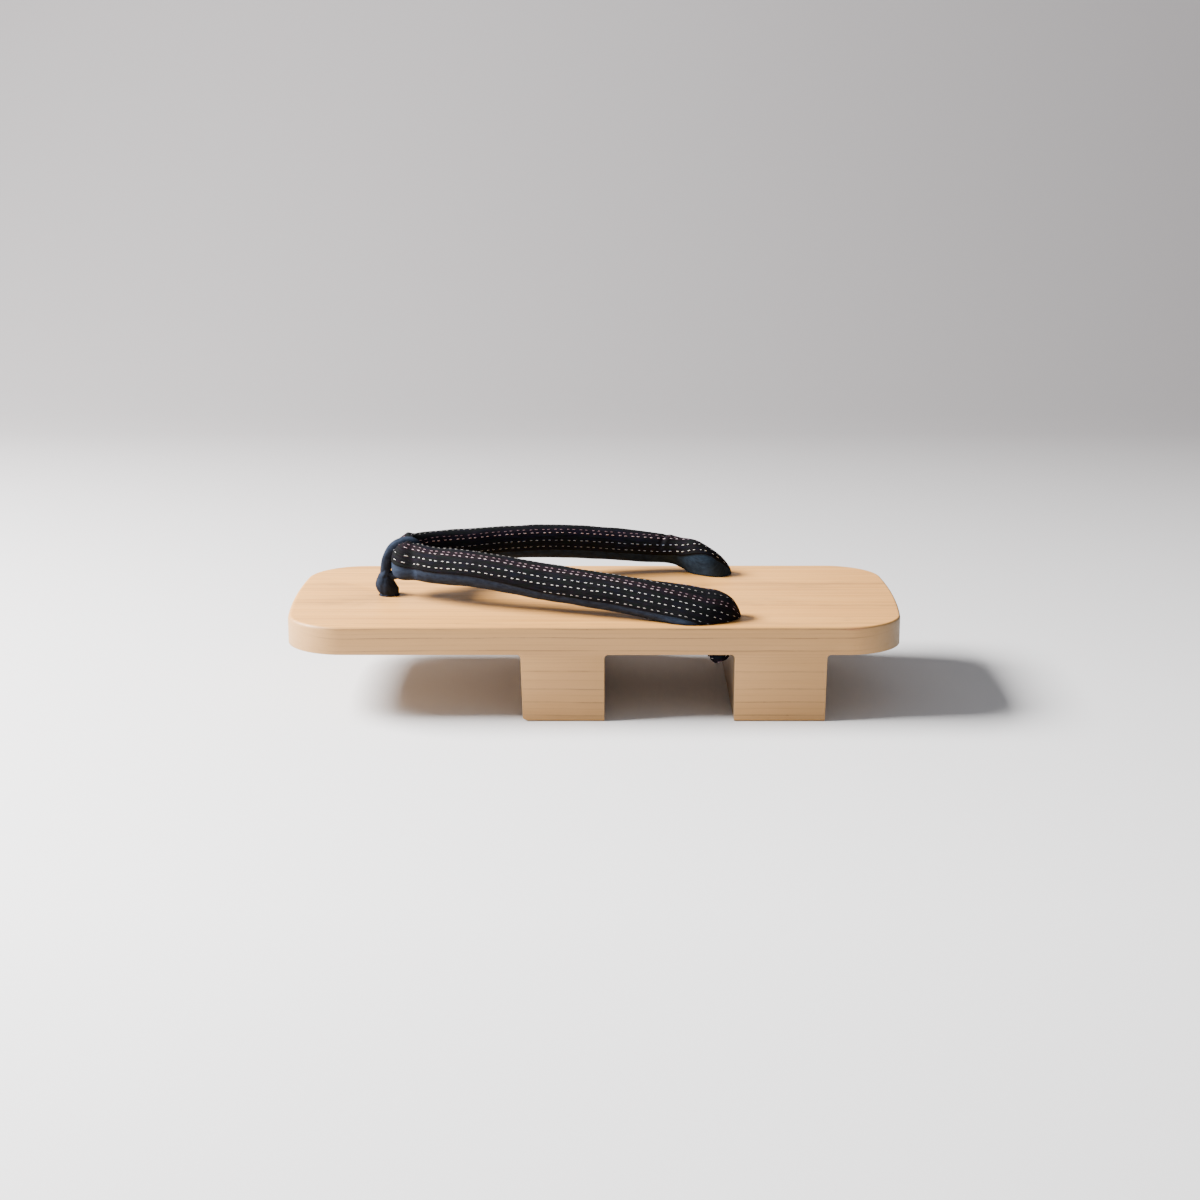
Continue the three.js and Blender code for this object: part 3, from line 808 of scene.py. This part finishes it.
def dash_rise():
    """How far each point of a short raised thread stands above the cloth. Its rim is sunk into it."""
    along = np.abs(np.linspace(-1, 1, DASH_GRID[0]))[:, None]
    across = np.abs(np.linspace(-1, 1, DASH_GRID[1]))[None, :]
    sunk = DASH["sunk"] * ((along == 1) | (across == 1))
    return DASH["high"] * (1 - along**6) * (1 - across**4) - sunk


def dash_places(strap):
    """Each dash in the cover's rows: thread, place along and across, length and lift."""
    shake = np.random.default_rng(DASH_SEED)
    for place, thread, phase, paired in DASH_ROWS:
        pitch = PAIR_PITCH if paired else SINGLE_PITCH
        middles = np.arange(pitch * phase + ROW_END, strap.end - ROW_END, pitch)
        if paired:
            middles = np.sort(np.concatenate([middles, middles + PAIR_APART]))
        for side in (-1, 1) if place else (1,):
            for middle in middles:
                along = middle + shake.normal(0, DASH_SHAKE["along"])
                across = side * place + shake.normal(0, DASH_SHAKE["across"])
                long = DASH["long"] * (1 + shake.normal(0, DASH_SHAKE["long"]))
                lift = 1 + shake.normal(0, DASH_SHAKE["lift"])
                yield thread, along, across, long, lift


def dash_shows(strap, k, along, across):
    """Whether a dash lies clear of the strap's ends, the cover's edges and the band."""
    if min(k, strap.last - k) < NO_DASH["rings"] or strap.grip[k] < NO_DASH["grip"]:
        return False
    outer = strap.rings[k][EDGE] - NO_DASH["edge"]
    inner = NO_DASH["edge"] - INNER_EDGE
    under_band = abs(along - strap.nose) < NO_DASH["band_along"] and abs(across) < NO_DASH["band_across"]
    return inner <= across <= outer and not under_band


def dash_size(strap, k, along):
    """A dash's size as a share of the usual one."""
    least, gain = SMALL_IN_GRIP
    size = min(1.0, least + gain * strap.grip[k])
    size *= np.interp(abs(along - strap.nose), *SMALL_AT_FOLD)
    return size * np.interp(min(along, strap.end - along), *SMALL_AT_END)


def strap_dashes(strap, heap):
    """Rows of raised dashes on the cover."""
    rise = dash_rise()
    faces = tube_faces(*DASH_GRID, closed_round=False)
    steps = np.linspace(-0.5, 0.5, DASH_GRID[0])
    breadth = np.linspace(-0.5, 0.5, DASH_GRID[1])
    for thread, middle, here, long, lift in dash_places(strap):
        nearest = int(round(middle / strap.end * strap.last))
        if not dash_shows(strap, nearest, middle, here):
            continue
        size = dash_size(strap, nearest, middle)
        across = here + breadth * DASH["wide"] * size
        patch = []
        for i, step in enumerate(steps):
            exact = np.clip((middle + step * long * size) / strap.end * strap.last, 0, strap.last - 0.001)
            low = int(exact)
            line = 0
            for ring, share in ((low, 1 - exact + low), (low + 1, exact - low)):
                arc = strap.to_arc(ring, across)
                base = strap.points(ring, arc, HEM / 2)
                top = strap.points(ring, arc, HEM / 2 + 1.0)
                line = line + share * (base + (top - base) * (rise[i] * lift)[:, None])
            patch.append(line)
        uv = [(middle + step * long, y) for step in steps for y in across]
        # Pale dashes on the right half's inner side take the painted-shade thread.
        painted_shade = strap.nose < middle < strap.end - PAINTED_SHADE_DASHES["rear"] and here < PAINTED_SHADE_DASHES["across"]
        heap.add(np.vstack(patch), faces, uv, THREADS.index("painted_shade" if painted_shade else thread))


def knot_dashes(knot, heap):
    """The same dashes on a knotted strap end."""
    rise = dash_rise()
    faces = tube_faces(*DASH_GRID, closed_round=False)
    path, sideways, upwards = knot_path(knot)
    around = travelled(np.vstack([path, path[:1]]))
    steps = np.linspace(-0.5, 0.5, DASH_GRID[0]) * DASH["long"] * KNOT_DASH["long"]
    breadth = np.linspace(-0.5, 0.5, DASH_GRID[1]) * DASH["wide"] * KNOT_DASH["wide"] / knot["cord"]
    for row, thread in enumerate(KNOT_THREADS):
        angle = 2 * math.pi * row / len(KNOT_THREADS) + breadth
        first = KNOT_DASH["start"] + KNOT_DASH["stagger"] * row
        for middle in np.arange(first, around[-1] - KNOT_DASH["end"], SINGLE_PITCH):
            patch = []
            for i, step in enumerate(steps):
                k = int(np.searchsorted(around, middle + step)) % KNOT_STEPS
                reach = (knot["cord"] * KNOT_DASH["stand"] + rise[i])[:, None]
                ring = np.cos(angle)[:, None] * sideways[k] + np.sin(angle)[:, None] * upwards[k]
                patch.append(path[k] + reach * ring)
            patch = np.vstack(patch)
            if patch[:, 2].max() < KNOT_CEILING - CLEAR:
                uv = [(middle + step, row + y) for step in steps for y in breadth]
                heap.add(patch, faces, uv, THREADS.index(thread))


def thong_band():
    """The band that loops round the fold, with a groove along its outside."""
    line = spline(BAND_LOOP, BAND["steps"], closed=True)
    along = travelled(np.vstack([line, line[:1]]))
    ahead = np.roll(line, -1, axis=0) - np.roll(line, 1, axis=0)
    ahead /= np.linalg.norm(ahead, axis=1)[:, None]
    outwards = np.column_stack([-ahead[:, 1], ahead[:, 0]])
    sides = BAND["sides"]
    points = []
    uvs = []
    for i, (x, z) in enumerate(line):
        behind = hill(x, BAND_BEHIND["x"], BAND_BEHIND["width"])
        below = hill(z, BAND_BELOW["z"], BAND_BELOW["width"]) * (x > BAND_BELOW["x"])
        wide = BAND["wide"] * (1 - BAND_BEHIND["less"] * behind)
        thick = BAND["thick"] * (1 - BAND_BELOW["less"] * below)
        sway = BAND_GROOVE["sway"] * math.sin(along[i] / BAND_GROOVE["sway_length"])
        groove_at = BAND_GROOVE["place"] + sway
        for j, angle in enumerate(turns(sides)):
            c, s = math.cos(angle), math.sin(angle)
            side = wide / 2 * squared(s, BAND["square"])
            out = thick / 2 * squared(c, BAND["square"])
            out = out - BAND_GROOVE["deep"] * hill(side, groove_at, BAND_GROOVE["width"]) * (c > 0)
            ripple = math.sin(along[i] / BAND_RIPPLE["length"] + BAND_RIPPLE["twist"] * s)
            out = out + BAND_RIPPLE["high"] * ripple
            points.append((x + outwards[i][0] * out, side, HEIGHT + z + outwards[i][1] * out))
            uvs.append((along[i], (j - sides / 2) * CLOTH_STEP["band"]))
    points = np.array(points)
    points[:, 2] = np.maximum(points[:, 2], HEIGHT + CLEAR)
    return points, tube_faces(len(line), sides, closed_along=True), uvs


def thong_bulb():
    """The swelling where the thong's two strands meet the board."""
    rows = spline(BULB, BULB_GRID["steps"])
    sides = BULB_GRID["sides"]
    points = []
    uvs = []
    for z, x, long, across in rows:
        for j, angle in enumerate(turns(sides)):
            fold = sum(hill(angle, foot + turn * z, BULB_FOLD["width"]) for foot, turn in BULB_FOLDS)
            slope = BULB_CREASE["slope"] * math.cos(angle - BULB_CREASE["angle"])
            crease = hill(z - BULB_CREASE["z"] + slope, 0.0, BULB_CREASE["width"])
            ripple = math.sin(z * BULB_RIPPLE["up"] + BULB_RIPPLE["round"] * angle)
            size = 1 - BULB_FOLD["deep"] * fold - BULB_CREASE["deep"] * crease + BULB_RIPPLE["high"] * ripple
            points.append((x + long * size * math.cos(angle), across * size * math.sin(angle), HEIGHT + z))
            uvs.append((z, (j - sides / 2) * CLOTH_STEP["bulb"]))
    faces = tube_faces(len(rows), sides)
    faces.append(tuple(reversed(range(sides))))
    return points, faces, uvs


def wood_block():
    """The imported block's own faces with every sharp edge eased by hand-sanding."""
    bm = bmesh.new()
    bm.from_mesh(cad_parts["dai_block"].data)
    bmesh.ops.remove_doubles(bm, verts=bm.verts, dist=SANDING["weld"])
    bmesh.ops.dissolve_limit(bm, angle_limit=math.radians(SANDING["flat"]), verts=bm.verts, edges=bm.edges)
    sharp = [
        edge
        for edge in bm.edges
        if len(edge.link_faces) == 2 and edge.calc_face_angle(0) > math.radians(SANDING["sharp"])
    ]
    bmesh.ops.bevel(
        bm,
        geom=sharp,
        offset=SANDING["offset"] * MM,
        segments=SANDING["segments"],
        profile=0.5,
        affect="EDGES",
        clamp_overlap=True,
    )
    bmesh.ops.triangulate(bm, faces=[face for face in bm.faces if len(face.verts) > 4])
    mesh = bpy.data.meshes.new("dai_wood")
    bm.to_mesh(mesh)
    bm.free()
    for layer in [a for a in mesh.attributes if a.name == "custom_normal"]:
        mesh.attributes.remove(layer)
    mesh.materials.clear()
    mesh.materials.append(wood_material())
    mesh.shade_smooth()
    mesh.set_sharp_from_angle(angle=math.radians(SANDING["smooth"]))
    made = bpy.data.objects.new("dai_wood", mesh)
    bpy.context.scene.collection.objects.link(made)
    return made


def settle(piece, node):
    """Rides a piece on the part's one body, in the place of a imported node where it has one."""
    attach(piece, "root")
    if node:
        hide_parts(node)


def floor_sweep():
    """The floor and a backdrop that sweeps up behind it."""
    bend, radius = FLOOR["bend"], FLOOR["radius"]
    sweep = [(FLOOR["front"], 0.0), (bend, 0.0)]
    for i in range(1, FLOOR["bend_steps"] + 1):
        angle = math.pi / 2 * i / FLOOR["bend_steps"]
        sweep.append((bend + radius * math.sin(angle), radius - radius * math.cos(angle)))
    sweep.append((bend + radius, FLOOR["top"]))
    sides = (-FLOOR["half_width"], FLOOR["half_width"])
    points = [(x / MM, y / MM, z / MM) for y, z in sweep for x in sides]
    faces = [(2 * i, 2 * i + 1, 2 * i + 3, 2 * i + 2) for i in range(len(sweep) - 1)]
    return add_mesh("floor", points, faces, [floor_material()])


def window_light():
    """One wide soft light from the toe's side."""
    light = bpy.data.lights.new("window", "AREA")
    light.shape = "RECTANGLE"
    light.size, light.size_y = WINDOW["size"]
    light.energy = WINDOW["watts"]
    light.color = WINDOW_COLOR
    made = bpy.data.objects.new("window", light)
    made.location = WINDOW["place"]
    aim = Vector(WINDOW["target"]) - Vector(WINDOW["place"])
    made.rotation_euler = aim.to_track_quat("-Z", "Y").to_euler()
    bpy.context.scene.collection.objects.link(made)


def sky_light():
    world = bpy.data.worlds.new("studio")
    world.use_nodes = True
    background = world.node_tree.nodes["Background"]
    background.inputs["Color"].default_value = SKY["color"]
    background.inputs["Strength"].default_value = SKY["strength"]
    bpy.context.scene.world = world


def photo_camera():
    """A camera at the photograph's viewing angle."""
    lens = bpy.data.cameras.new("camera")
    lens.lens = CAMERA["lens"]
    lens.sensor_width = CAMERA["sensor"]
    lens.clip_start = CAMERA_NEAR
    camera = bpy.data.objects.new("camera", lens)
    camera.location = CAMERA["place"]
    camera.rotation_euler = (math.radians(CAMERA["tilt"]), 0, math.radians(CAMERA["turn"]))
    bpy.context.scene.collection.objects.link(camera)
    bpy.context.scene.camera = camera


block = wood_block()
settle(block, "dai_block")

strap = Strap()
rear_end = strap.end - REAR_END
# The lining's tints are painted shade past the fold and painted light at the rear end.
lining_painted_tints = [
    (strap.nose + LINING_PAINTED_SHADE_PAST_FOLD["start"], LINING_PAINTED_SHADE_PAST_FOLD["reach"], LINING_PAINTED_SHADE_PAST_FOLD["tint"]),
    (rear_end, LINING_PAINTED_LIGHT_AT_REAR["reach"], LINING_PAINTED_LIGHT_AT_REAR["tint"]),
]
strap_cloth = Heap()
strap_cloth.add(*strap_shell(strap))
for knot in STRAP_KNOTS:
    strap_cloth.add(*knot_tube(knot))
    strap_cloth.add(*neck_tube(NECK["strap_x"], knot["y"], NECK["strap_top"]))
cover = strap_cloth.make(
    "hanao_cover",
    [cover_material(rear_end), navy_material("strap_lining", **LINING, tints=lining_painted_tints)],
)
settle(cover, "hanao_strap")

dashes = Heap()
strap_dashes(strap, dashes)
for knot in STRAP_KNOTS:
    knot_dashes(knot, dashes)
stitches = dashes.make(
    "hanao_dashes",
    [thread_material("thread_" + name, *colors) for name, colors in THREAD_COLORS.items()],
)
settle(stitches, None)

thong_cloth = Heap()
thong_cloth.add(*thong_band())
thong_cloth.add(*thong_bulb())
thong_cloth.add(*knot_tube(THONG_KNOT))
thong_cloth.add(*neck_tube(THONG_KNOT["x"], THONG_KNOT["y"], NECK["thong_top"]))
thong = thong_cloth.make("maetsubo_cloth", [navy_material("thong_navy", **THONG, tints=[THONG_TINT])])
settle(thong, "maetsubo_thong")

floor = floor_sweep()
window_light()
sky_light()
photo_camera()
